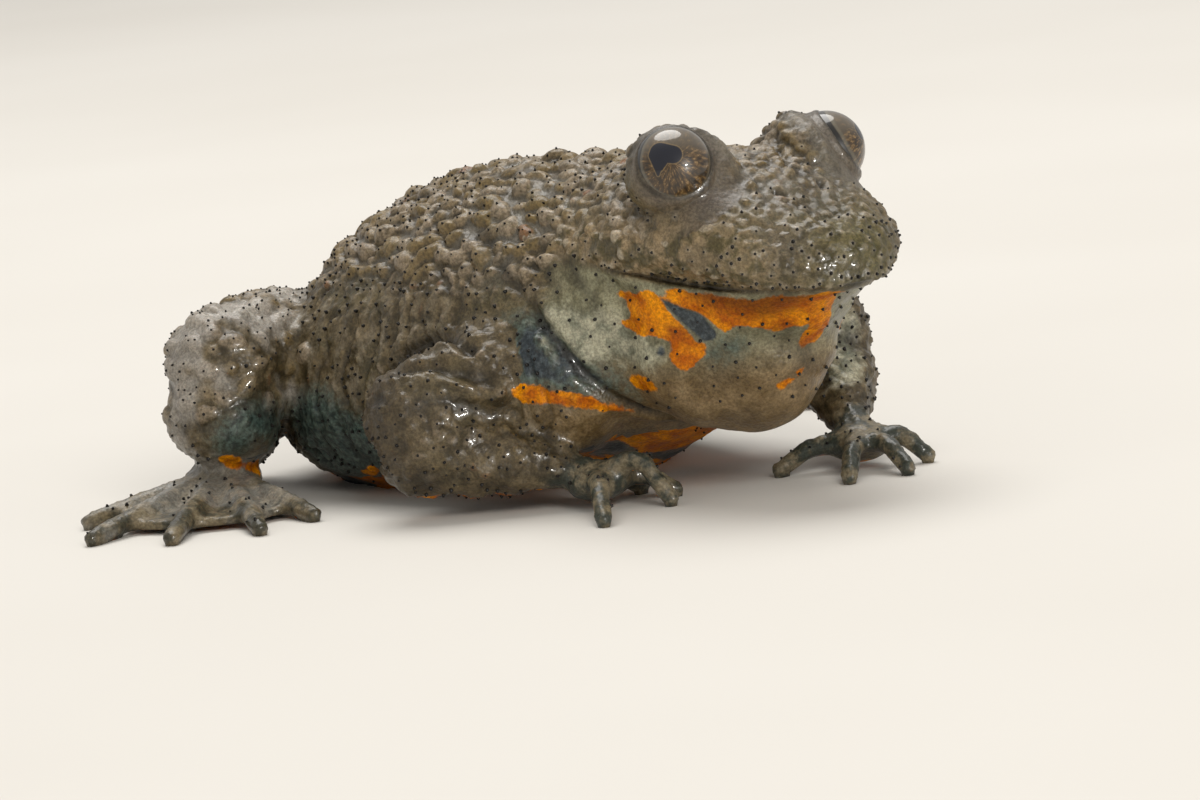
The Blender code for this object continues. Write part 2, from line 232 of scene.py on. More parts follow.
parts = np.stack([
    over("head", "eye"),
    over("torso"),
    over("upper_arm", "forearm"),
    over("hand"),
    over("thigh", "shank"),
    over("tarsus", "foot"),
], axis=1)
parts = relax(parts, ends, 0.5, softly)
head, torso, arm, hand, leg, foot = parts.T

# The solids' facets and coarse warts are smoothed away, least on the thin fingers and toes
FIRST_ROUNDS = 3
spots = relax(spots, ends, 0.5, FIRST_ROUNDS)
thick = np.clip(1.0 - 1.25 * (hand + foot), 0.0, 1.0)
spots = relax(spots, ends, 0.5 * thick, softly)
move_to(skin.data, spots)
facing = normals_of(skin.data)
measures = sites_of(spots)
ahead, left, up = measures.T
on_top = rise(up, 8.5, 6) * rise(facing[:, 2], -0.2, 0.6) * torso
on_top = relax(on_top[:, None], ends, 0.5, softly)[:, 0]
spots = spots - facing * (SWELL + (DRAW_IN - SWELL) * thick + KNOBBY * on_top)[:, None]
crown = head * fall(np.abs(left * 2.6), 16.5, 4) * rise(up, 15, 2)
crown *= fall(ahead, 2.5, 3)
crown = relax(crown[:, None], ends, 0.5, softly)[:, 0]
spots = spots + facing * (CROWN_RISE * crown)[:, None]
move_to(skin.data, spots)

# The throat and lips. The throat narrows in front below the overhanging snout, and the mouth is
# shut: behind the lip's edge the hollow that the solids leave is filled up to the lower jaw.
LIP_LOW = 12.15
LIP_CLIMB = 1.9          # how much higher the corners of the mouth are than its middle
LIP_TURN = 115.0         # degrees from the tip of the snout to each corner
JAW_BACK = 2.5           # the middle of the jaw's curve lies this far behind the eyes
UNDER_LIP = 1.5          # how far below the lip's edge the hollow reaches
OVERHANG = ((0, 25, 50, 75), (1.7, 1.3, 0.4, 0.12))    # turns, and the lip's reach over the jaw there
SLIM_LEVELS = (4.0, 6.5, 7.6, 9.4, 11.3, 12.1)
SLIM_SHARES = (0.34, 0.34, 0.27, 0.21, 0.17, 0.0)      # of the width, taken off at these levels
THROAT_SIDE = 95.0       # from this turn on the throat keeps its full width
SIDE_EASE = 40.0         # degrees over which it does so
CORNER_EASE = 12.0       # degrees over which the filling ends at the corners of the mouth
STATION = 5              # degrees from one measured place of the lip to the next


def along_mouth(measures):
    """Turn round the jaw in degrees, distance from its middle, and height over the mouth's line."""
    ahead, left, up = measures.T
    turn = np.degrees(np.arctan2(left, ahead + JAW_BACK))
    climb = LIP_CLIMB * (np.abs(turn) / LIP_TURN) ** 1.6
    return turn, np.hypot(ahead + JAW_BACK, left), up - LIP_LOW - climb


turn, reach, over_lip = along_mouth(sites_of(spots))
in_front = fall(np.abs(turn), THROAT_SIDE, SIDE_EASE)
in_front *= in_front * (3 - 2 * in_front) * np.clip(head + torso, 0, 1)
slim = 1 - np.interp(spots[:, 2] / MM, SLIM_LEVELS, SLIM_SHARES) * in_front
jaw_middle = np.array(site(-JAW_BACK, 0, 0))[:2]
spots[:, :2] = jaw_middle + (spots[:, :2] - jaw_middle) * slim[:, None]
turn, reach, over_lip = along_mouth(sites_of(spots))
stations = np.arange(-LIP_TURN, LIP_TURN + 1, STATION)
on_head = (head > 0.4) & (np.abs(turn) < LIP_TURN + STATION)
lip = np.zeros(len(stations))
jaw = np.zeros(len(stations))
for number, station in enumerate(stations):
    close = on_head & (np.abs(turn - station) < 0.8 * STATION)
    on_lip = close & (np.abs(over_lip - 0.3) < 0.25)
    lip[number] = reach[on_lip].max() - np.interp(abs(station), *OVERHANG)
    jaw[number] = reach[close & (np.abs(over_lip + UNDER_LIP) < 0.15)].max()
share = np.clip(-over_lip / UNDER_LIP, 0, 1)
aim = np.interp(turn, stations, lip) * (1 - share) + np.interp(turn, stations, jaw) * share
under_lip = (over_lip < -0.02) & (over_lip > -UNDER_LIP)
hollow = on_head & under_lip & (reach < aim) & (reach > 0.6 * aim)
fade = fall(np.abs(turn), LIP_TURN, CORNER_EASE)
grow = np.where(hollow, 1 + (aim / reach - 1) * fade, 1.0)
spots[:, :2] = jaw_middle + (spots[:, :2] - jaw_middle) * grow[:, None]

# The eyelids. Thick skin stands up in a ring round each eyeball and folds once behind the rim.
# The opening is sunk below the ball, so that the separate ball shows through it.
BALL = 2.25 * MM
LID = 0.1                # how far the lid's edge stands over the ball, in millimetres
SUNK = -0.35             # inside the opening the skin lies this far below the ball's surface
BEHIND_LID = 20.0        # degrees from the opening's edge to the end of the lid
LID_TURNS = (-9, -1, 2.5, 8, 13, BEHIND_LID, 27, 45)   # degrees past the opening's edge
LID_LEVELS = (SUNK, -0.05, LID, LID + 0.05, LID, LID + 0.02, LID + 0.1, 0.45)
BAG = 0.34               # how much fuller the lid is under the eye
SHOULDER = 1.0           # how far the skin stands off the ball towards crown and snout
WIDEST = 1.05 * MM       # of the mound over the ball
MOUND = 4.4 * MM         # skin farther than this from the ball's middle keeps its place
FAR_OFF = 9.0            # stands for any distance beyond the mound
# Each ball, where it looks, where its opening faces, half the opening's width in degrees, and by
# how many millimetres its mound is lower on top
EYES = (
    ("eye_right", (-0.64, -0.73, 0.22), (-0.46, -0.79, 0.40), 68.0, 0.75),
    ("eye_left", (0.64, -0.73, 0.22), (0.67, -0.55, 0.50), 65.6, 0.0),
)
gazes = {}
for name, gaze, opening, half_angle, flatter in EYES:
    gaze = np.array(Vector(gaze).normalized())
    opening = np.array(Vector(opening).normalized())
    gazes[name] = (np.array(middle_of(name)), gaze, opening, half_angle, flatter)


def raise_lids(spots, mound=True):
    """Moves the skin near the eyes to the shape of the lids, and with them of the mound behind."""
    for centre, _, opening, half_angle, flatter in gazes.values():
        away = spots - centre
        distance = np.linalg.norm(away, axis=1)
        angle = np.degrees(np.arccos(np.clip(away @ opening / distance, -1, 1))) - half_angle
        level = np.interp(angle, LID_TURNS, LID_LEVELS)
        under = np.clip(-2.2 * away[:, 2] / distance, 0, 1)
        level = level + BAG * under * rise(angle, -1, 22)
        inward = np.array((-0.77 * np.sign(centre[0]), -0.63, -0.1))
        toward = np.clip(1.3 * (away @ inward / distance) - 0.25, 0, 1)
        past = rise(angle, 12, 13)
        level = level + SHOULDER * toward * past * past * (3 - 2 * past)
        shaped = BALL + level * MM
        outer = rise(angle, BEHIND_LID, 12)
        most = BALL + WIDEST - flatter * MM * np.clip(1.2 * away[:, 2] / distance, 0, 1)
        shaped = shaped * (1 - outer) + np.clip(distance, shaped, np.maximum(shaped, most)) * outer
        hold = fall(angle, 70, 28) if mound else fall(angle, BEHIND_LID + 6, 8)
        hold = np.minimum(hold, fall(distance, MOUND, 1.5 * MM))
        hold = hold * hold * (3 - 2 * hold)
        spots = centre + away * ((shaped * hold + distance * (1 - hold)) / distance)[:, None]
    return spots


def around_eyes(spots):
    """Each point's distance from the edge of an eye's opening along the ball, in millimetres."""
    rings = np.full(len(spots), FAR_OFF)
    for centre, _, opening, half_angle, _ in gazes.values():
        away = spots - centre
        distance = np.linalg.norm(away, axis=1)
        angle = np.arccos(np.clip(away @ opening / distance, -1, 1)) - math.radians(half_angle)
        rings = np.where(distance < MOUND, angle * BALL / MM, rings)
    return rings


# The skin is stretched out to the lids, melted again so that its mesh is even there,
# smoothed between lid and cheek, and given the lids' shape once more
move_to(skin.data, raise_lids(spots))
before = search_tree(points_of(skin.data))
melt_together(skin)
spots = points_of(skin.data)
ends = ends_of(skin.data)
root = np.array([before.find(spot)[1] for spot in spots])
parts = parts[root]
on_top = on_top[root]
thick = thick[root]
head, torso, arm, hand, leg, foot = parts.T
spots = relax(spots, ends, 0.5 * thick, 2)
rings = around_eyes(spots)
loose = rise(rings, 0.5, 0.5) * fall(rings, 4.2, 1.2)
spots = relax(spots, ends, 0.6 * loose, softly)
spots = raise_lids(spots, mound=False)
rings = around_eyes(spots)
bare = rings < 0.85
lids = np.clip(1 - np.abs(rings - 0.35) / 0.75, 0, 1)
mounds = fall(rings, 1.9, 0.8)
move_to(skin.data, spots)
facing = relax(normals_of(skin.data), ends, 0.5, 2)
facing /= np.linalg.norm(facing, axis=1)[:, None]

# The mouth, nostrils and folds. The mouth is one long crease under a full upper lip, and the
# loose skin creases where throat meets chest, behind the jaw, over the arm and down the flank.
MOUTH_DEEP = 0.18        # all of these in millimetres
MOUTH_WIDE = 0.13
LIP_FULL = 0.05
JAW_FULL = 0.08
measures = sites_of(spots)
ahead, left, up = measures.T
depth = np.zeros(len(spots))
turn, reach, over_lip = along_mouth(measures)
mouth = head * fall(np.abs(turn), LIP_TURN - 5, 8) * (reach > 4)


def ridge(values, crest, width):
    """1 at the crest, and falling off smoothly to both sides over about this width."""
    return np.exp(-((values - crest) / width) ** 2)


depth -= MOUTH_DEEP * mouth * ridge(over_lip, 0, MOUTH_WIDE)
depth += LIP_FULL * mouth * ridge(over_lip, 0.55, 0.42)
depth += JAW_FULL * mouth * np.clip(-over_lip / 0.2, 0, 1) * rise(over_lip, -2.8, 1.8)
depth -= 0.1 * ridge(rings, 2.3, 0.14) * (up > 17.5) * (ahead > -1.5)
bare |= (mouth > 0.3) & (np.abs(over_lip) < 0.2)


def smooth_path(path):
    """A path of landmarks with its corners rounded off."""
    path = np.array(path, float)
    for _ in range(2):
        inner = [path[:1]]
        for first, second in zip(path, path[1:]):
            inner.append([first * 0.75 + second * 0.25, first * 0.25 + second * 0.75])
        path = np.concatenate([*inner, path[-1:]])
    return path


def distance_to(path, places, reach):
    """Each place's distance to a path, in millimetres, up to this reach."""
    nearest = np.full(len(places), reach)
    path = smooth_path(path)
    close = np.all((places > path.min(0) - reach) & (places < path.max(0) + reach), axis=1)
    inside = places[close]
    best = np.full(len(inside), reach)
    for first, second in zip(path, path[1:]):
        line = second - first
        share = np.clip((inside - first) @ line / max(line @ line, 1e-9), 0, 1)
        best = np.minimum(best, np.linalg.norm(inside - first - share[:, None] * line, axis=1))
    nearest[close] = best
    return nearest


def press_fold(path, width, deep):
    """A crease in the hide, with a soft roll of skin on either side."""
    gap = distance_to(path, measures, 4 * width)
    return 0.4 * deep * ridge(gap, 1.7 * width, width) - deep * ridge(gap, 0, width)


NOSTRIL_AHEAD = 4.15
NOSTRIL_ASIDE = 1.5
NOSTRIL_UP = 17.5
NOSTRIL_DEEP = 0.36
nostril_rim = np.zeros(len(spots))
for side in (-1, 1):
    above = np.array(site(NOSTRIL_AHEAD, side * NOSTRIL_ASIDE, NOSTRIL_UP))
    on_nose = measures[np.argmin(np.linalg.norm(spots - above, axis=1))]
    slit = on_nose + np.array([[-0.22, side * 0.16, 0.12], [0.0, 0.0, 0.0], [0.2, 0.0, -0.1]])
    gap = distance_to(slit, measures, 2.0)
    depth += 0.07 * ridge(gap, 0.42, 0.17) - NOSTRIL_DEEP * ridge(gap, 0, 0.2)
    nostril_rim += 0.35 * ridge(gap, 0.45, 0.17)
    bare |= gap < 0.3

throat_fold = (
    (-9.6, 9.4, 12.0), (-9.1, 9.2, 11.0), (-8.0, 8.9, 9.6), (-6.9, 8.6, 8.2),
    (-6.7, 7.3, 6.9), (-5.9, 4.5, 5.1), (-3.6, 3.2, 4.6),
)
jaw_fold = ((-8.7, 7.6, 14.9), (-7.1, 8.0, 13.2), (-6.0, 7.9, 12.1), (-5.5, 7.8, 10.9))
nape_fold = ((-9.3, 4.5, 17.9), (-6.1, 6.5, 16.8), (-4.0, 7.7, 15.6), (-3.7, 7.7, 14.3))
shoulder_fold = ((-15.5, 8.0, 15.9), (-12.9, 8.8, 14.3), (-10.7, 9.3, 12.2), (-9.2, 9.5, 10.7))
side_fold = ((-19.5, 8.6, 15.3), (-17.0, 10.1, 13.2), (-14.1, 10.4, 11.6))
upper_arm_fold = (
    (-20.2, 12.1, 7.9), (-18.5, 11.7, 9.2), (-16.8, 11.5, 9.8), (-14.1, 12.0, 10.1), (-12.1, 12.3, 9.7),
)
elbow_fold = (
    (-16.8, 15.0, 7.4), (-15.2, 15.2, 8.4), (-13.3, 14.2, 8.9), (-12.3, 13.7, 8.7), (-10.8, 12.4, 7.8),
)
BOTH = (-1, 1)
RIGHT = (-1,)
# Each fold on the toad's left, its width and depth, and the sides that have it. Only the right
# arm is pressed so hard against the flank that it creases.
FOLDS = (
    (throat_fold, 0.42, 0.42, BOTH),
    (jaw_fold, 0.4, 0.14, BOTH),
    (nape_fold, 0.45, 0.12, BOTH),
    (shoulder_fold, 0.5, 0.2, BOTH),
    (side_fold, 0.5, 0.14, BOTH),
    (upper_arm_fold, 0.45, 0.42, RIGHT),
    (elbow_fold, 0.45, 0.38, RIGHT),
)
for side in BOTH:
    for fold, width, deep, sides in FOLDS:
        if side in sides:
            depth += press_fold(np.array(fold) * (1, side, 1), width, deep)


def ripple(places, length, seed, waves=12):
    """A soft uneven swell between about -1 and 1, with crests about this many millimetres apart."""
    draw = np.random.default_rng(seed)
    total = np.zeros(len(places))
    for _ in range(waves):
        way = draw.normal(size=3)
        way *= 2 * math.pi / (length * draw.uniform(0.75, 1.4)) / np.linalg.norm(way)
        total += np.cos(places @ way + draw.uniform(0, 6.28))
    return total / math.sqrt(waves)


# Upright pleats of the flank, fine creases across fingers and toes, and a soft unevenness
PLEAT = 1.9
PLEAT_DEEP = 0.26
FINGER_CREASE = 1.1
FINGER_CREASE_DEEP = 0.07
flank = torso * fall(up, 14.5, 4) * rise(np.abs(left), 8, 2)
flank *= np.clip(up / 3, 0, 1)
waved = ahead + 0.9 * ripple(measures, 7.0, 3) + 0.35 * ripple(measures, 2.2, 4)
crests = np.abs(np.sin(math.pi * waved / PLEAT))
depth += flank * (0.1 - PLEAT_DEEP * (1 - crests) ** 2)
joints = ahead + 0.5 * left + 0.3 * ripple(measures, 2.0, 5)
joints = np.abs(np.sin(math.pi * joints / FINGER_CREASE))
depth -= FINGER_CREASE_DEEP * (hand + 0.6 * foot) * (1 - joints) ** 2 * (facing[:, 2] > 0)
depth += 0.09 * ripple(measures, 3.2, 6) * np.clip(1 - hand - foot, 0, 1)
depth += 0.12 * ripple(measures, 1.9, 8) * arm

# The warts. The whole upper side is packed with them, large and knobbly on the back and the
# folded legs, finer on head and limbs, low and scattered on the throat. They are part of the hide.
lift = np.zeros(len(spots))
tint = np.full(len(spots), 0.5)      # each wart has its own tone
taken = bare.copy()
beds = search_tree(spots)
chance = np.random.default_rng(11)
thorns = []                          # each horny point's place and share of the full size
upward = facing[:, 2]
above_lip = head * (over_lip > 0.25)
crowned = above_lip * (up > 15.5) * (upward > 0.3)
below_lip = head * (over_lip < -0.3) * (upward < 0.5)
LENGTHWISE = np.array((0.0, 1.0, 0.0))
UPRIGHT = np.array((0.0, 0.0, 1.0))


def sow(bed, radii, spacing, height, thorny, across=1.0, round_top=0.7, lie=LENGTHWISE):
    """Sows warts over a bed of the hide until it is full.

    Each has a radius between the two given, keeps this many radii from the next, and rises
    by a share of its radius. Long ones lie roughly one way. Some bear horny points, and the
    largest one to three.
    """
    order = chance.permutation(np.flatnonzero((bed > 0.5) & ~taken))
    for start in order:
        if taken[start]:
            continue
        radius = chance.uniform(*radii)
        stretch = chance.uniform(1.0, across)
        found = beds.find_range(spots[start], radius * MM * max(stretch * 1.15, spacing))
        close = np.array([item[1] for item in found])
        away = (spots[close] - spots[start]) / MM
        taken[close[np.linalg.norm(away, axis=1) < radius * spacing * chance.uniform(0.85, 1.2)]] = True
        along = lie + chance.normal(0, 0.45, 3)
        long_way = along - facing[start] * (along @ facing[start])
        long_way /= np.linalg.norm(long_way)
        short_way = np.cross(facing[start], long_way)
        one = away @ long_way / (radius * stretch)
        two = away @ short_way / (radius / math.sqrt(stretch))
        turned = np.arctan2(two, one)
        edge = 1 + 0.16 * np.sin(3 * turned + start) + 0.12 * np.sin(5 * turned + 0.7 * start)
        level = 1 - (one * one + two * two) / edge
        same = (level > 0) & (facing[close] @ facing[start] > 0.2)
        dome = np.zeros(len(close))
        dome[same] = radius * height * chance.uniform(0.7, 1.15) * level[same] ** round_top
        higher = close[dome > lift[close]]
        tint[higher] = chance.random()
        lift[close] = np.maximum(lift[close], dome)
        if chance.random() < thorny:
            size = chance.uniform(0.7, 1.25)
            thorns.append((int(start), size * (0.8 if radius > 0.3 else 1.0)))
            if radius > 0.5:
                beside = close[same & (level > 0.25) & (level < 0.75)]
                for seat in beside[chance.permutation(len(beside))[:int(chance.integers(0, 3))]]:
                    thorns.append((int(seat), 0.7))


high_back = torso * rise(up, 12.0, 2.6) * (upward > -0.1)
body_side = torso * (up > 8.0)
folded = leg * rise(up, 4, 3) * (upward > -0.2)
few = chance.random(len(spots)) < 0.012
sow((high_back > 0.6) & few, (0.5, 0.78), 1.75, 0.8, 1.0, 1.6, 0.5)
few = chance.random(len(spots)) < 0.03
sow((folded > 0.6) & (upward > 0) & few, (0.45, 0.75), 1.8, 0.55, 0.9, 1.5, 0.5)
sow(high_back, (0.34, 0.55), 1.65, 0.88, 0.85, 1.6, 0.5)
sow(high_back + 0.35, (0.22, 0.36), 1.75, 0.68, 0.6, 1.5, 0.55)
sow(body_side, (0.17, 0.32), 2.4, 0.55, 0.45, 2.2, 0.6, UPRIGHT)
sow(folded, (0.22, 0.42), 1.9, 0.5, 0.4, 1.6, 0.6)
sow(crowned * (ahead < 3.0), (0.3, 0.46), 1.65, 0.75, 0.12, 1.5, 0.5)
sow(above_lip * (ahead < -3.0), (0.26, 0.44), 1.75, 0.55, 0.5, 1.4, 0.6)
sow(crowned * (ahead > 2.5), (0.26, 0.42), 1.75, 0.55, 0.15, 1.6, 0.6)
sow(above_lip * (ahead > 4.5) * (over_lip > 1.2), (0.2, 0.36), 1.8, 0.5, 0.4, 1.4)
sow(above_lip, (0.2, 0.36), 1.85, 0.5, 0.6, 1.4)
sow(flank, (0.2, 0.34), 2.1, 0.45, 0.45, 2.2, 0.7, UPRIGHT)
sow(arm * (up > 2.5), (0.2, 0.38), 2.0, 0.5, 0.5, 1.6)
sow(arm, (0.13, 0.22), 2.6, 0.5, 0.35, 1.3)
sow(leg * (up > 1.5), (0.18, 0.3), 2.3, 0.42, 0.3, 1.3)
sow(below_lip * (up > 5.5), (0.16, 0.24), 5.5, 0.2, 0.85)
sow((hand + foot) * (upward > 0.1), (0.14, 0.26), 2.2, 0.25, 0.1)
sow((np.maximum(torso, leg) > 0.5) & (upward < 0) & (up > 0.4), (0.35, 0.55), 2.2, 0.12, 0.15)

# A row of pale tubercles runs along the upper lip. Each stands where a ray from the middle of
# the jaw leaves the head.
LIP_STEP = 2.3           # degrees
LIP_STEPS = 46           # to each side
LIP_KNOB_RISE = 0.14
PALE = 0.8
for step in range(-LIP_STEPS, LIP_STEPS + 1):
    wide = math.radians(step * LIP_STEP + chance.uniform(-0.5, 0.5))
    level = LIP_LOW + LIP_CLIMB * (abs(math.degrees(wide)) / LIP_TURN) ** 1.6 + chance.uniform(0.42, 0.62)
    outer = np.array(site(11 * math.cos(wide) - JAW_BACK, 11 * math.sin(wide), level))
    inner = np.array(site(-JAW_BACK, 0, level))
    line = (outer - inner) / np.linalg.norm(outer - inner)
    away = spots - inner
    beside = np.linalg.norm(away - np.outer(away @ line, line), axis=1)
    start = np.argmin(beside + 0.5 * MM * (away @ line < 3 * MM) + MM * (head < 0.5))
    gap = np.linalg.norm(spots - spots[start], axis=1) / MM / chance.uniform(0.2, 0.27)
    lift = np.maximum(lift, LIP_KNOB_RISE * np.clip(1 - gap * gap, 0, 1) ** 0.7)
    tint[gap < 1] = PALE
    if chance.random() < 0.4:
        thorns.append((int(start), chance.uniform(0.7, 1.0)))

# The warts are lower over the eyes, and what comes close to the floor lies flat on it
ON_FLOOR = 0.16 * MM
lift = relax(lift[:, None], ends, 0.25, 1)[:, 0] * (1 - 0.55 * mounds)
raised = spots + facing * ((depth + lift) * MM)[:, None]
raised[:, 2] = np.where(raised[:, 2] < ON_FLOOR, 0.0, raised[:, 2])
move_to(skin.data, raised)
thorn_seats = [(raised[number].copy(), facing[number].copy(), share) for number, share in thorns]

# The surface keeps its full fineness on the head and fingers and is thinned most underneath
THIN_STEPS = 10
have = sum(len(face.vertices) - 2 for face in skin.data.polygons)
if have > HIDE_TRIANGLES:
    spare = skin.vertex_groups.new(name="spare")
    ease = 0.45 - 0.3 * np.maximum(head, on_top) - 0.2 * hand
    ease = np.where((upward < -0.3) | (up < 2) & (hand + foot < 0.5), 1.0, ease)
    for step in range(THIN_STEPS + 1):
        chosen = np.flatnonzero(np.round(ease * THIN_STEPS) == step)
        spare.add([int(number) for number in chosen], step / THIN_STEPS, "REPLACE")
    thin = skin.modifiers.new("thin", "DECIMATE")
    thin.ratio = HIDE_TRIANGLES / have
    thin.vertex_group = "spare"
    thin.vertex_group_factor = 2e-6
    settle(skin)
spots = points_of(skin.data)
spots[:, 2] = np.maximum(spots[:, 2], 0.0)
move_to(skin.data, spots)
skin.data.shade_smooth()

# The markings are kept as measures on the hide, in millimetres inside each patch's edge.
# Throat, chest, belly and the hidden sides of the limbs are orange with slate patches.
PAST_EDGE = 1.5          # how far outside its edge a patch is still measured, in millimetres
root = np.array([beds.find(spot)[1] for spot in spots])
measures = sites_of(spots)
ahead, left, up = measures.T
head, torso, arm, hand, leg, foot = parts[root].T
facing = facing[root]
upward = facing[:, 2]
over_lip = over_lip[root]
knob = np.clip(lift[root] / 0.3, 0, 1)
# Creases, and a thin line round each lid's edge, where painted shade goes
crease = np.clip(-depth[root] / 0.25, 0, 1)
crease = np.maximum(crease, ridge(rings[root], 0.08, 0.12))


def patch(*strokes):
    """How far each point lies inside patches that are drawn as thick strokes through landmarks."""
    inside = np.full(len(measures), -PAST_EDGE)
    for width, *path in strokes:
        inside = np.maximum(inside, width - distance_to(path, measures, width + PAST_EDGE))
    return inside


def both_sides(*strokes):
    """The same strokes on either side of the toad, those on its left a little changed."""
    out = list(strokes)
    for number, (width, *path) in enumerate(strokes):
        change = np.random.default_rng(40 + number).uniform(-0.7, 0.7, 3)
        out.append((width * 0.95, *(np.array(place) * (1, -1, 1) + change for place in path)))
    return out


JAW_ARC = 0.16           # millimetres round the throat for each degree of turn
FAR_TURN = 30.0          # on the left, past this turn, the patches of the right are repeated, changed
FAR_SHIFT = 8            # they start this many degrees further round
FAR_SQUEEZE = 1.35       # and are this much narrower
turn, _, above_mouth = along_mouth(measures)
far = rise(turn, FAR_TURN, 10)
round_jaw = np.where(turn > FAR_TURN, (turn - FAR_TURN - FAR_SHIFT) * FAR_SQUEEZE, -turn) * JAW_ARC
round_jaw += 1.1 * far * ripple(measures, 9.0, 31)
level = up + 0.5 * far * ripple(measures, 8.0, 32)


def outline(*corners):
    """How far each point lies inside a patch of head or chest, in millimetres.

    Each corner is a turn round the jaw, in degrees from the tip of the snout, and a level.
    """
    ring = np.array(corners, float) * (JAW_ARC, 1.0)
    for _ in range(2):
        after = np.roll(ring, -1, axis=0)
        ring = np.stack((ring * 0.75 + after * 0.25, ring * 0.25 + after * 0.75), axis=1).reshape(-1, 2)
    near = (head + torso > 0.35) & (upward < 0.6) & (ahead > -14)
    places = np.stack((round_jaw[near], level[near]), axis=1)
    gap = np.full(len(places), PAST_EDGE)
    within = np.zeros(len(places), bool)
    for first, second in zip(ring, np.roll(ring, -1, axis=0)):
        line = second - first
        share = np.clip((places - first) @ line / (line @ line), 0, 1)
        gap = np.minimum(gap, np.linalg.norm(places - first - share[:, None] * line, axis=1))
        spans = (first[1] > places[:, 1]) != (second[1] > places[:, 1])
        height = line[1] if line[1] else 1.0
        within ^= spans & (places[:, 0] < line[0] * (places[:, 1] - first[1]) / height + first[0])
    inside = np.full(len(measures), -PAST_EDGE)
    inside[near] = np.where(within, gap, -gap)
    return inside


big_lobe = outline(
    (110, 12.5), (86, 12.6), (78, 12.3), (76, 11.1), (69, 10.3), (65, 9.4), (58, 9.3), (62, 8.6),
    (70, 7.8), (74, 7.8), (80, 8.5), (77, 9.5), (84, 9.9), (102, 10.1), (109, 10.7), (98, 11.0), (101, 11.7),
)
front_band = outline(
    (82, 12.6), (60, 12.8), (40, 12.6), (20, 12.4), (2, 12.1), (-1, 10.7), (-7, 9.3), (-3, 8.6),
    (8, 8.3), (8, 9.2), (7, 10.1), (14, 9.8), (23, 9.7), (39, 10.4), (48, 9.9), (57, 11.0), (71, 11.6),
)
small_spot = outline((110, 7.5), (97, 7.7), (89, 7.1), (89, 6.8), (103, 6.5), (112, 6.8))
ink_lobe = outline(
    (80, 12.4), (70, 11.7), (60, 11.3), (53, 10.4), (52, 9.7), (57, 9.4), (63, 9.5), (70, 10.5), (76, 11.5),
)
dark_spot = outline((82, 9.6), (87, 9.2), (83, 8.6), (78, 9.1))
gular_dark = outline(
    (128, 11.3), (123, 10.5), (117, 8.8), (115, 6.5), (119, 7.0), (119, 7.4), (125, 7.7), (129, 9.7),
)
blue_haze = outline((61, 9.2), (49, 9.9), (36, 9.8), (36, 8.5), (52, 8.0), (65, 8.2))
pale_cheek = outline(
    (124, 12.0), (107, 11.3), (102, 10.0), (84, 9.8), (80, 8.4), (94, 8.0), (101, 8.2),
    (116, 8.6), (121, 9.9), (126, 10.9),
)
# Where the shadow of the overhanging lip is painted onto the orange band
lip_shadow = outline(
    (68, 12.9), (40, 12.8), (28, 12.6), (14, 12.4), (16, 11.6), (26, 11.1), (37, 11.1), (51, 11.9),
)
strokes_of_orange = patch(*both_sides(
    (0.58, (-9.6, -10.8, 6.9), (-8.8, -10.2, 6.8)),
    (0.45, (-8.8, -10.2, 6.8), (-7.4, -9.0, 6.4), (-6.7, -8.1, 6.1)),
    (0.28, (-6.7, -8.1, 6.1), (-6.5, -6.1, 5.4), (-5.8, -5.0, 5.0)),
    (0.3, (2.4, -1.5, 6.3), (2.9, -0.9, 6.8), (3.3, -0.1, 7.2)),
    (0.4, (-25.9, -10.2, 1.3), (-24.9, -10.4, 1.6)),
    (0.5, (-29.9, -17.3, 3.2), (-30.5, -16.0, 2.7), (-31.3, -14.3, 2.1)),
))
orange = np.maximum.reduce((big_lobe, front_band, small_spot, strokes_of_orange))
slate = np.maximum.reduce((ink_lobe, dark_spot, gular_dark - 0.2))
blue = np.maximum.reduce((blue_haze, gular_dark + 0.7, patch(*both_sides(
    (3.9, (-27.0, -12.0, 3.2), (-23.5, -11.8, 1.6)),
    (1.6, (-28.9, -17.4, 4.6), (-28.2, -16.7, 5.6), (-28.3, -15.0, 5.2)),
))))
pale = np.maximum(pale_cheek, patch((1.0, (-5.6, 10.9, 7.6), (-4.7, 9.9, 6.0), (-4.2, 8.8, 5.1))))

# On the head the orange ends at the mouth. What faces the floor is marbled with orange and slate
below_mouth = -above_mouth - 0.3 - 0.12 * ripple(measures, 2.5, 33)
orange = np.where(head > 0.4, np.minimum(orange, below_mouth), orange)
beneath = rise(-upward, 0.68, 0.2) * (1 - head) * fall(up, 4.5, 1.5)
beneath *= 1 - np.clip(arm + hand + foot, 0, 1) * (upward > -0.93)
marbled = ripple(measures, 5.5, 21) + 0.4 * ripple(measures, 2.1, 22)
orange = np.maximum(orange, np.where(beneath > 0.5, 0.6 * (marbled + 0.25), -PAST_EDGE))
slate = np.maximum(slate, np.where(beneath > 0.5, -0.6 * (marbled + 0.5), -PAST_EDGE))

# Where the hide's tone changes, from 0 to 1
throat = head * fall(over_lip, -0.05, 0.3) * fall(upward, 0.6, 0.4)
chest = rise(ahead, -11, 3) * (1 - head) * torso * (upward < 0.3) * (up < 8)
throat = np.maximum(throat, chest)
drop = fall(up, 9.6, 2.5)
dusky = np.clip(hand * 1.2 + foot * 0.5, 0, 1)
# The arms' own dark brown, strongest towards the flank, where it also stands for painted shade
dark_arm_and_shade = arm * (0.2 + 0.8 * fall(ahead, -12, 4))
over_mouth = rise(above_mouth, -0.1, 0.4)
cheek = head * rise(np.abs(turn), 14, 20) * over_mouth * fall(up, 17.2, 1.5)
front = head * fall(np.abs(turn), 24, 20) * over_mouth * fall(up, 17, 2)
snout = head * rise(ahead, 1.5, 4) * (over_lip > 0.2)
# Upward-facing back and crown, where the gaps between warts get painted shade and a painted pale sky
# reflection
top_sheen_and_shade = np.maximum(high_back[root], head * rise(up, 16.5, 1.5)) * np.clip(upward * 2, 0, 1)

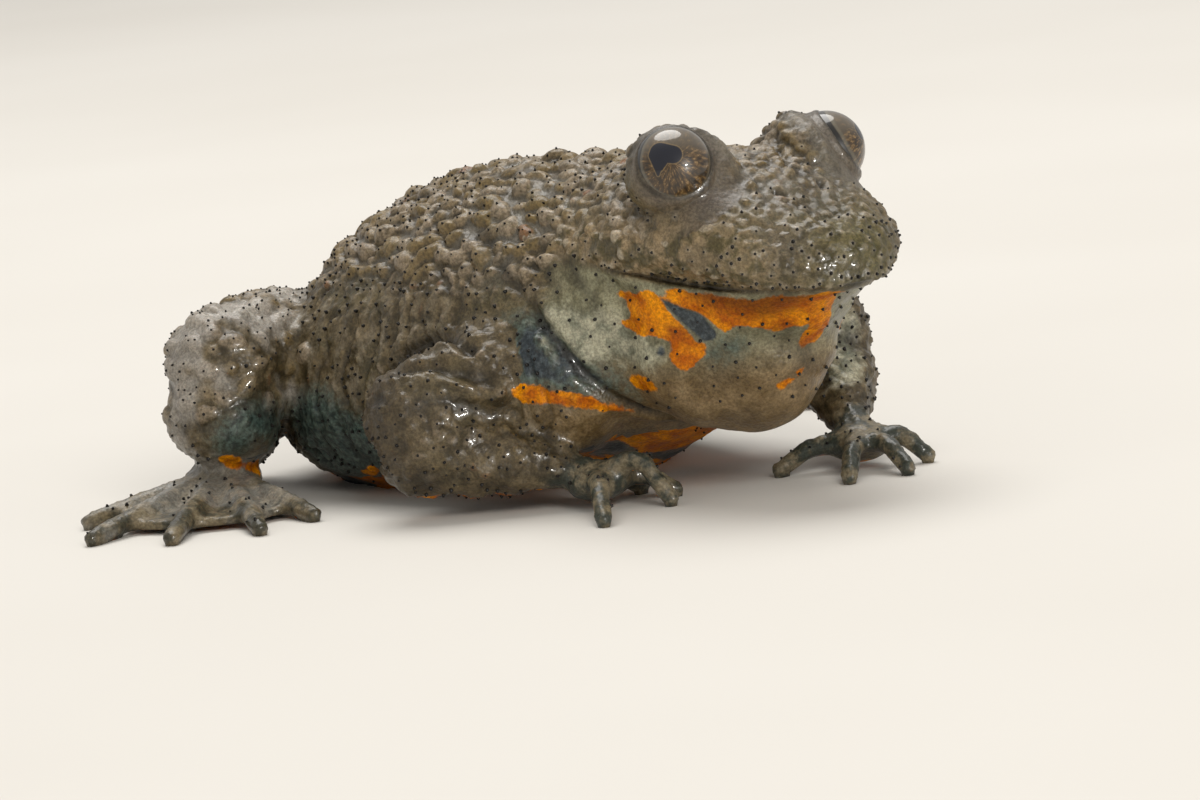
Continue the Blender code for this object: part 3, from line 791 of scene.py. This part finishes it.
# A pale ring round each horny point above the mouth and round the nostrils
RING = 0.18              # millimetres
thorn_tree = search_tree([seat for seat, _, _ in thorn_seats])
beside_thorn = np.array([thorn_tree.find(spot)[2] for spot in spots]) / MM
halo = np.clip(1.4 - beside_thorn / RING, 0, 1)
halo = np.maximum(halo * head * (over_lip > 0), nostril_rim[root])

# The wettest places on snout, crown, throat, arm and leg: each with its width in millimetres and
# how wet it is
WET_PLACES = (
    ((6.6, -3.6, 14.9), 1.5, 1.0), ((1.8, 3.0, 18.6), 1.3, 0.8), ((-6.4, -8.6, 10.0), 1.3, 0.8),
    ((2.6, -4.8, 7.0), 1.3, 0.8), ((-13.5, -15.0, 7.0), 1.3, 0.8), ((-29.5, -15.8, 8.8), 1.3, 0.8),
)
wet = np.zeros(len(measures))
for landmark, width, strength in WET_PLACES:
    wet += strength * ridge(np.linalg.norm(measures - landmark, axis=1), 0, width)


def keep_measure(thing, title, values):
    """Keeps a value for each point of a piece, where its material can read it."""
    kept = thing.data.attributes.new(title, "FLOAT", "POINT")
    kept.data.foreach_set("value", np.clip(values, -2, 2).astype(np.float32))


for title, values in (
    ("orange", orange), ("slate", slate), ("blue", blue), ("pale", pale), ("knob", knob),
    ("crease", crease), ("throat", throat), ("drop", drop), ("dusky", dusky), ("beneath", beneath),
    ("snout", snout), ("lids", lids[root]), ("leg", np.maximum(leg, foot)), ("arm", dark_arm_and_shade),
    ("cheek", cheek), ("front", front), ("tone", tint[root]), ("halo", halo), ("top_sheen_and_shade", top_sheen_and_shade),
    ("wet", wet), ("lip_shadow", lip_shadow), ("ridge", (flank * crests ** 4)[root]),
):
    keep_measure(skin, title, values)


def new_material(title):
    """A new material, its node tree, its shader, and the place of each point on it."""
    made = bpy.data.materials.new(title)
    made.use_nodes = True
    nodes = made.node_tree.nodes
    place = nodes.new("ShaderNodeTexCoord").outputs["Object"]
    return made, made.node_tree, nodes["Principled BSDF"], place


def feed(node, given):
    """Sets each of these inputs of a node, or links it where its value comes from a node."""
    for key, value in given.items():
        if isinstance(value, bpy.types.NodeSocket):
            tree.links.new(value, node.inputs[key])
        else:
            node.inputs[key].default_value = value


def add(kind, given=None, **settings):
    """A new node in the tree of the material at hand, with its settings and inputs."""
    node = tree.nodes.new(kind)
    for key, value in settings.items():
        setattr(node, key, value)
    feed(node, given or {})
    return node


def blend(share, first, second, kind="MIX"):
    """The first colour with this share of the second."""
    node = add("ShaderNodeMix", data_type="RGBA", blend_type=kind)
    feed(node, {0: share})
    for key, colour in ((6, first), (7, second)):
        feed(node, {key: (*colour, 1.0) if isinstance(colour, tuple) else colour})
    return node.outputs[2]


def sum_up(kind, first, second=0.0, third=0.0):
    """One step of arithmetic on two or three values."""
    return add("ShaderNodeMath", {0: first, 1: second, 2: third}, operation=kind).outputs[0]


def times(first, *others):
    """The values multiplied together."""
    for other in others:
        first = sum_up("MULTIPLY", first, other)
    return first


def paint(ground, colour, *strengths):
    """The ground with a colour laid over it, as strongly as these values say together."""
    return blend(times(*strengths), ground, colour)


def measure_of(title):
    """What the points of the piece keep under this title."""
    return add("ShaderNodeAttribute", attribute_name=title).outputs["Fac"]


def ramp(value, low, high):
    """The value stretched so that low becomes 0 and high becomes 1."""
    given = {"Value": value, "From Min": low, "From Max": high}
    return add("ShaderNodeMapRange", given, interpolation_type="SMOOTHSTEP").outputs["Result"]


def grain_of(place, size, detail=2.0, rough=0.5):
    """Soft noise with features about this many millimetres across."""
    given = {"Vector": place, "Scale": 1 / (size * MM), "Detail": detail, "Roughness": rough}
    return add("ShaderNodeTexNoise", given).outputs["Fac"]


hide, tree, shader, place = new_material("moist warty hide")
broad = grain_of(place, 4.5, 3.0)
mottle = grain_of(place, 1.3, 4.0, 0.62)
fine = grain_of(place, 0.33, 3.0, 0.6)

# Brown-grey ground with olive clouds; the warts' tops are paler, partly their own tone and partly
# painted highlight, and the gaps between them stay darker as painted shade
ground = blend(ramp(mottle, 0.34, 0.66), (0.038, 0.028, 0.012), (0.140, 0.105, 0.055))
ground = paint(ground, (0.070, 0.060, 0.022), ramp(broad, 0.45, 0.7), 0.5)
tone = measure_of("tone")
wart_tone_and_highlight = blend(ramp(tone, 0.2, 0.8), (0.165, 0.115, 0.046), (0.265, 0.210, 0.145))
wart_tone_and_highlight = paint(wart_tone_and_highlight, (0.200, 0.095, 0.040), ramp(tone, 0.965, 0.98))
knob = ramp(measure_of("knob"), 0.1, 0.8)
strength = sum_up("MULTIPLY_ADD", measure_of("snout"), -0.25, 0.85)
# Painted highlight: each wart's own tone is laid over its raised top, so the tops read as lit
ground = paint(ground, wart_tone_and_highlight, knob, ramp(fine, 0.22, 0.62), strength)
between = sum_up("SUBTRACT", 1.0, knob)
# Painted shade darkens the gaps between the warts on top, and a painted pale sky reflection lies in some of
# them
painted_top_light = measure_of("top_sheen_and_shade")
ground = paint(ground, (0.034, 0.028, 0.020), between, painted_top_light, 0.45)
ground = paint(ground, (0.300, 0.280, 0.245), between, ramp(broad, 0.42, 0.6), painted_top_light, 0.28)

# Pale crests of the flank's pleats, mottled cheeks, and a mossy front of the snout
ground = paint(ground, (0.170, 0.150, 0.115), measure_of("ridge"), ramp(mottle, 0.4, 0.6), 0.5)
side_tone = blend(ramp(mottle, 0.4, 0.6), (0.085, 0.068, 0.028), (0.300, 0.220, 0.125))
ground = paint(ground, side_tone, measure_of("cheek"), 0.72)
moss = blend(ramp(mottle, 0.42, 0.6), (0.055, 0.048, 0.011), (0.175, 0.145, 0.055))
ground = paint(ground, moss, measure_of("front"), 0.7)
both = sum_up("ADD", measure_of("cheek"), measure_of("front"))
# Paler tops of the head's warts: partly their own tone, partly painted highlight
ground = paint(ground, (0.430, 0.375, 0.285), both, ramp(tone, 0.45, 0.8), ramp(knob, 0.15, 0.7), 0.5)
ground = paint(ground, (0.030, 0.030, 0.012), measure_of("snout"), ramp(mottle, 0.5, 0.62), 0.6)

# Legs with pale blotches, dark arms that also carry painted shade towards the flank, grey-brown lids
ground = paint(ground, (0.315, 0.290, 0.255), measure_of("leg"), ramp(broad, 0.47, 0.58), 0.75)
ground = paint(ground, (0.044, 0.031, 0.016), measure_of("arm"), 0.8)
ground = paint(ground, (0.120, 0.098, 0.080), measure_of("lids"), 0.6)

# Smooth throat: grey-olive near the lip and warm brown below it. Hands and feet are dusky
soft = blend(ramp(mottle, 0.35, 0.65), (0.110, 0.100, 0.055), (0.235, 0.225, 0.140))
low = blend(ramp(mottle, 0.35, 0.65), (0.115, 0.075, 0.030), (0.210, 0.145, 0.070))
soft = paint(soft, low, measure_of("drop"))
ground = paint(ground, soft, measure_of("throat"))
dusk = blend(ramp(mottle, 0.42, 0.6), (0.034, 0.042, 0.034), (0.180, 0.150, 0.095))
ground = paint(ground, dusk, measure_of("dusky"), 0.85)

# The patches, whose edges are ragged. Orange is darkest under the lip, where the lip's shadow is painted in
ragged = times(sum_up("SUBTRACT", fine, 0.5), 0.9)
ragged = sum_up("MULTIPLY_ADD", sum_up("SUBTRACT", mottle, 0.5), 2.6, ragged)


def edge_of(title, low, high, wander):
    """Where a patch lies, from 0 to 1, with a ragged edge."""
    return ramp(sum_up("MULTIPLY_ADD", ragged, wander, measure_of(title)), low, high)


teal = blend(ramp(fine, 0.35, 0.65), (0.012, 0.028, 0.029), (0.066, 0.104, 0.090))
ground = paint(ground, teal, edge_of("blue", -0.6, 1.2, 0.9), 0.85)
ashen = blend(ramp(mottle, 0.38, 0.58), (0.165, 0.170, 0.120), (0.350, 0.335, 0.240))
ground = paint(ground, ashen, edge_of("pale", -0.5, 0.6, 0.8), 0.9)
ground = paint(ground, (0.100, 0.098, 0.085), measure_of("beneath"), 0.7)
flame = blend(ramp(mottle, 0.35, 0.7), (0.350, 0.080, 0.0005), (0.700, 0.255, 0.001))
# Painted shadow of the lip over the top of the orange band
flame = paint(flame, (0.135, 0.036, 0.002), edge_of("lip_shadow", -1.0, 0.3, 0.6), 0.85)
in_orange = edge_of("orange", -0.06, 0.1, 0.3)
ground = paint(ground, flame, in_orange)
ink = blend(ramp(fine, 0.4, 0.7), (0.020, 0.027, 0.032), (0.062, 0.078, 0.086))
ground = paint(ground, ink, edge_of("slate", -0.08, 0.2, 0.3))

# Pale rings round the points of the head, painted shade in the creases, and fine specks all over
ground = paint(ground, (0.330, 0.290, 0.225), measure_of("halo"), 0.45)
ground = paint(ground, (0.018, 0.015, 0.010), measure_of("crease"), 0.7)
specks = ramp(grain_of(place, 0.17, 2.0, 0.7), 0.32, 0.68)
specks = blend(specks, (0.72, 0.71, 0.70), (1.28, 1.28, 1.28))
ground = blend(1.0, ground, specks, "MULTIPLY")

# Wet skin: soft underneath, with a film of water that breaks into glints
PORE = 0.27 * MM
RELIEF = 0.06 * MM
soaked = measure_of("wet")
film_of_water = sum_up("MULTIPLY_ADD", in_orange, -0.12, 0.22)
pores = add("ShaderNodeTexVoronoi", {"Vector": place, "Scale": 1 / PORE}).outputs["Distance"]
relief = sum_up("MULTIPLY_ADD", pores, -0.8, times(fine, 1.2))
bump = add("ShaderNodeBump", {"Height": relief, "Strength": 0.55, "Distance": RELIEF})
water = add("ShaderNodeBump", {"Height": fine, "Strength": 0.32, "Distance": RELIEF})
feed(shader, {
    "Base Color": ground,
    "Roughness": sum_up("MULTIPLY_ADD", ramp(mottle, 0.3, 0.7), 0.22, 0.34),
    "Specular IOR Level": sum_up("MULTIPLY_ADD", in_orange, -0.15, 0.25),
    "Coat Weight": sum_up("MULTIPLY_ADD", soaked, 0.6, film_of_water),
    "Coat Roughness": sum_up("MULTIPLY_ADD", soaked, -0.08, 0.11),
    "Subsurface Weight": 0.06,
    "Subsurface Radius": (1.0, 0.45, 0.25),
    "Subsurface Scale": 0.0006,
    "Normal": bump.outputs["Normal"],
    "Coat Normal": water.outputs["Normal"],
})
skin.data.materials.clear()
skin.data.materials.append(hide)
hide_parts(*[name for name in names if not name.startswith("eye")])
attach(skin, "root")

# The horny points. Most warts end in one or two hard black spines, a quarter of a millimetre
# wide, and they are scattered over flanks, throat and limbs as well. Each is a blunt little cone.
POINT_RADIUS = 0.13      # millimetres, at the foot of a point of full size
POINT_SIDES = 6
POINT_TIP = 0.4          # these three in radii of the point's foot: its tip, its height, and how
POINT_HEIGHT = 1.4       # far its middle stands off the hide
POINT_OFF = 0.15
LOWEST_POINT = 0.3       # millimetres above the floor; lower ones are left out
one_point = bmesh.new()
bmesh.ops.create_cone(
    one_point, cap_ends=True, segments=POINT_SIDES, radius1=1.0, radius2=POINT_TIP, depth=POINT_HEIGHT
)
stamp = bpy.data.meshes.new("one point")
one_point.to_mesh(stamp)
one_point.free()
prickles = bmesh.new()
for seat, normal, share in thorn_seats:
    if seat[2] < LOWEST_POINT * MM:
        continue
    size = POINT_RADIUS * MM * share
    turned = Vector(normal).to_track_quat("Z", "Y").to_matrix().to_4x4()
    moved = Matrix.Translation(Vector(seat) + Vector(normal) * (POINT_OFF * size)) @ turned
    placed = stamp.copy()
    placed.transform(moved @ Matrix.Scale(size, 4))
    prickles.from_mesh(placed)
    bpy.data.meshes.remove(placed)
horny_points = put_in_scene("horny_points", prickles)
horny_points.data.shade_smooth()
horn, tree, shader, place = new_material("black horn")
worn = blend(grain_of(place, 0.5), (0.004, 0.004, 0.004), (0.018, 0.015, 0.012))
feed(shader, {"Base Color": worn, "Roughness": 0.5, "Specular IOR Level": 0.2})
horny_points.data.materials.append(horn)
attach(horny_points, "root")

# The eyeballs. Each is a glossy ball with a golden-brown, finely netted iris and a dark pupil
# shaped like a heart that hangs point down, set in a thin gold line. A pale sky reflection is
# painted over the upper part of the iris.
BALL_COLUMNS = 96
BALL_ROWS = 64
# The pupil is three thick strokes over the face of the ball: each stroke's width to either side
# at both of its ends, and how far forward and up of the gaze the ends lie, in millimetres
PUPIL = (
    (0.56, 0.50, (-0.60, 0.60), (0.14, 0.40)),
    (0.46, 0.07, (-0.78, 0.45), (-0.80, -0.64)),
    (0.42, 0.14, (-0.42, 0.30), (-0.62, -0.30)),
)
iris, tree, shader, place = new_material("eye")
rays = add("ShaderNodeAttribute", attribute_name="rays").outputs["Vector"]
streaks = add("ShaderNodeTexNoise", {"Vector": rays, "Scale": 9.0, "Detail": 4.0}).outputs["Fac"]
flecks = ramp(grain_of(place, 0.14, 3.0, 0.6), 0.42, 0.6)
pupil = measure_of("pupil")
edge = measure_of("rim")
brown = blend(ramp(streaks, 0.38, 0.62), (0.018, 0.010, 0.003), (0.085, 0.046, 0.013))
brown = paint(brown, (0.300, 0.185, 0.072), ramp(streaks, 0.52, 0.66), flecks, 0.85)
# Painted reflection: a pale grey sky haze over the upper part of the iris
brown = paint(brown, (0.105, 0.085, 0.060), measure_of("iris_sky_sheen"), 0.75)
brown = paint(brown, (0.300, 0.205, 0.085), ramp(pupil, -0.09, -0.05), 0.35)
brown = paint(brown, (0.002, 0.003, 0.010), ramp(pupil, -0.05, 0.02))
brown = paint(brown, (0.120, 0.110, 0.080), ramp(edge, 0.84, 0.9), 0.6)
brown = paint(brown, (0.006, 0.005, 0.004), ramp(edge, 0.93, 0.97))
feed(shader, {
    "Base Color": brown,
    "Roughness": 0.4,
    "Specular IOR Level": 0.2,
    "Coat Weight": 1.0,
    "Coat Roughness": 0.015,
})
for name, (centre, gaze, opening, half_angle, _) in gazes.items():
    ball = bmesh.new()
    bmesh.ops.create_uvsphere(ball, u_segments=BALL_COLUMNS, v_segments=BALL_ROWS, radius=BALL)
    turned = Vector(gaze).to_track_quat("Z", "Y").to_matrix().to_4x4()
    bmesh.ops.transform(ball, matrix=Matrix.Translation(centre) @ turned, verts=ball.verts)
    eyeball = put_in_scene(name.replace("eye", "eyeball"), ball)
    eyeball.data.shade_smooth()
    away = (points_of(eyeball.data) - centre) / MM
    upright = np.array((0, 0, 1)) - gaze * gaze[2]
    upright /= np.linalg.norm(upright)
    forward = np.cross(upright, gaze) * (1 if gaze[0] < 0 else -1)
    flat = np.stack((away @ forward, away @ upright), axis=1)
    inside = np.full(len(flat), -PAST_EDGE)
    for wide, narrow, first, second in PUPIL:
        first = np.array(first)
        line = np.array(second) - first
        share = np.clip((flat - first) @ line / (line @ line), 0, 1)
        width = wide + (narrow - wide) * share
        inside = np.maximum(inside, width - np.linalg.norm(flat - first - share[:, None] * line, axis=1))
    inside[away @ gaze < 0] = -PAST_EDGE
    angle = np.arccos(np.clip(away @ opening / np.linalg.norm(away, axis=1), -1, 1))
    rim = angle / math.radians(half_angle)
    rim = rim - 0.09 * np.clip(-away[:, 2] - 0.2, 0, 1) + 0.06 * np.clip(away[:, 2], 0, 1)
    keep_measure(eyeball, "pupil", inside)
    keep_measure(eyeball, "rim", rim)
    # The upper part of the iris, where the painted sky reflection lies
    keep_measure(eyeball, "iris_sky_sheen", rise(flat[:, 1], 0.2, 0.8))
    reach = np.linalg.norm(flat, axis=1)[:, None] + 1e-6
    rays = np.concatenate((flat / reach, 0.35 * reach), axis=1)
    kept = eyeball.data.attributes.new("rays", "FLOAT_VECTOR", "POINT")
    kept.data.foreach_set("vector", rays.astype(np.float32).ravel())
    eyeball.data.materials.append(iris)
    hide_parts(name)
    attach(eyeball, "root")

# The plain pale floor under the toad
floor_sheet = bmesh.new()
bmesh.ops.create_grid(floor_sheet, x_segments=1, y_segments=1, size=3.0)
floor = put_in_scene("floor", floor_sheet)
paper, tree, shader, place = new_material("pale floor")
pale_tone = blend(grain_of(place, 60.0), (0.60, 0.575, 0.53), (0.66, 0.64, 0.60))
feed(shader, {"Base Color": pale_tone, "Roughness": 0.7})
floor.data.materials.append(paper)

# Soft studio light: a broad lamp overhead, a smaller one in front, and a very small one by the
# camera for the wet glints. Each has its place in metres, its width, its watts and its colour.
LAMPS = (
    ("overhead", (0.10, 0.17, 0.50), 0.45, 2.5, (1.0, 0.98, 0.95)),
    ("front", (-0.20, -0.46, 0.30), 0.25, 1.4, (1.0, 0.97, 0.92)),
    ("glint", (0.00, -0.45, 0.05), 0.02, 2.6, (1.0, 0.97, 0.92)),
)
world = bpy.data.worlds.new("studio")
bpy.context.scene.world = world
world.use_nodes = True
feed(world.node_tree.nodes["Background"], {"Color": (1.0, 0.975, 0.94, 1.0), "Strength": 0.55})
for title, stand, size, power, colour in LAMPS:
    lamp = bpy.data.lights.new(title, "AREA")
    lamp.shape = "DISK"
    lamp.size = size
    lamp.energy = power
    lamp.color = colour
    light = bpy.data.objects.new(title, lamp)
    bpy.context.scene.collection.objects.link(light)
    light.location = stand
    light.visible_glossy = title != "front"     # it only fills shadows and shows in no wet glint
    light.visible_diffuse = title != "glint"    # it only shows in the wet glints
    light.rotation_mode = "QUATERNION"
    light.rotation_quaternion = (Vector((0, 0, 0.01)) - Vector(stand)).to_track_quat("-Z", "Y")

# The camera looks at the right side of the head from the front, a little above the floor
FROM_SIDE, RAISED, TIPPED = (math.radians(value) for value in (50, 15, 9))
AWAY = 400.0             # these four in millimetres
EYES_UP = 19.6
LEFT_OF_EYES = 8.57      # how far left of and below the eyes the middle of the picture lies
BELOW_EYES = 14.17


def tipped(forward, left, up):
    """A direction in the picture's upright turned with the toad, which is tipped level on the floor."""
    return Vector((
        left,
        -(forward * math.cos(TIPPED) + up * math.sin(TIPPED)),
        up * math.cos(TIPPED) - forward * math.sin(TIPPED),
    ))


back = tipped(
    math.sin(FROM_SIDE) * math.cos(RAISED), -math.cos(FROM_SIDE) * math.cos(RAISED), math.sin(RAISED)
)
rightward = tipped(math.cos(FROM_SIDE), math.sin(FROM_SIDE), 0)
topward = back.cross(rightward)
from_eyes = back * AWAY - rightward * LEFT_OF_EYES - topward * BELOW_EYES
lens = bpy.data.cameras.new("camera")
lens.sensor_width = 36.0
lens.lens = 210.0
lens.clip_start = 0.01
camera = bpy.data.objects.new("camera", lens)
bpy.context.scene.collection.objects.link(camera)
camera.location = site(0, 0, EYES_UP) + from_eyes * MM
camera.rotation_mode = "QUATERNION"
camera.rotation_quaternion = Matrix((rightward, topward, back)).transposed().to_quaternion()
bpy.context.scene.camera = camera
bpy.context.scene.view_settings.view_transform = "Standard"
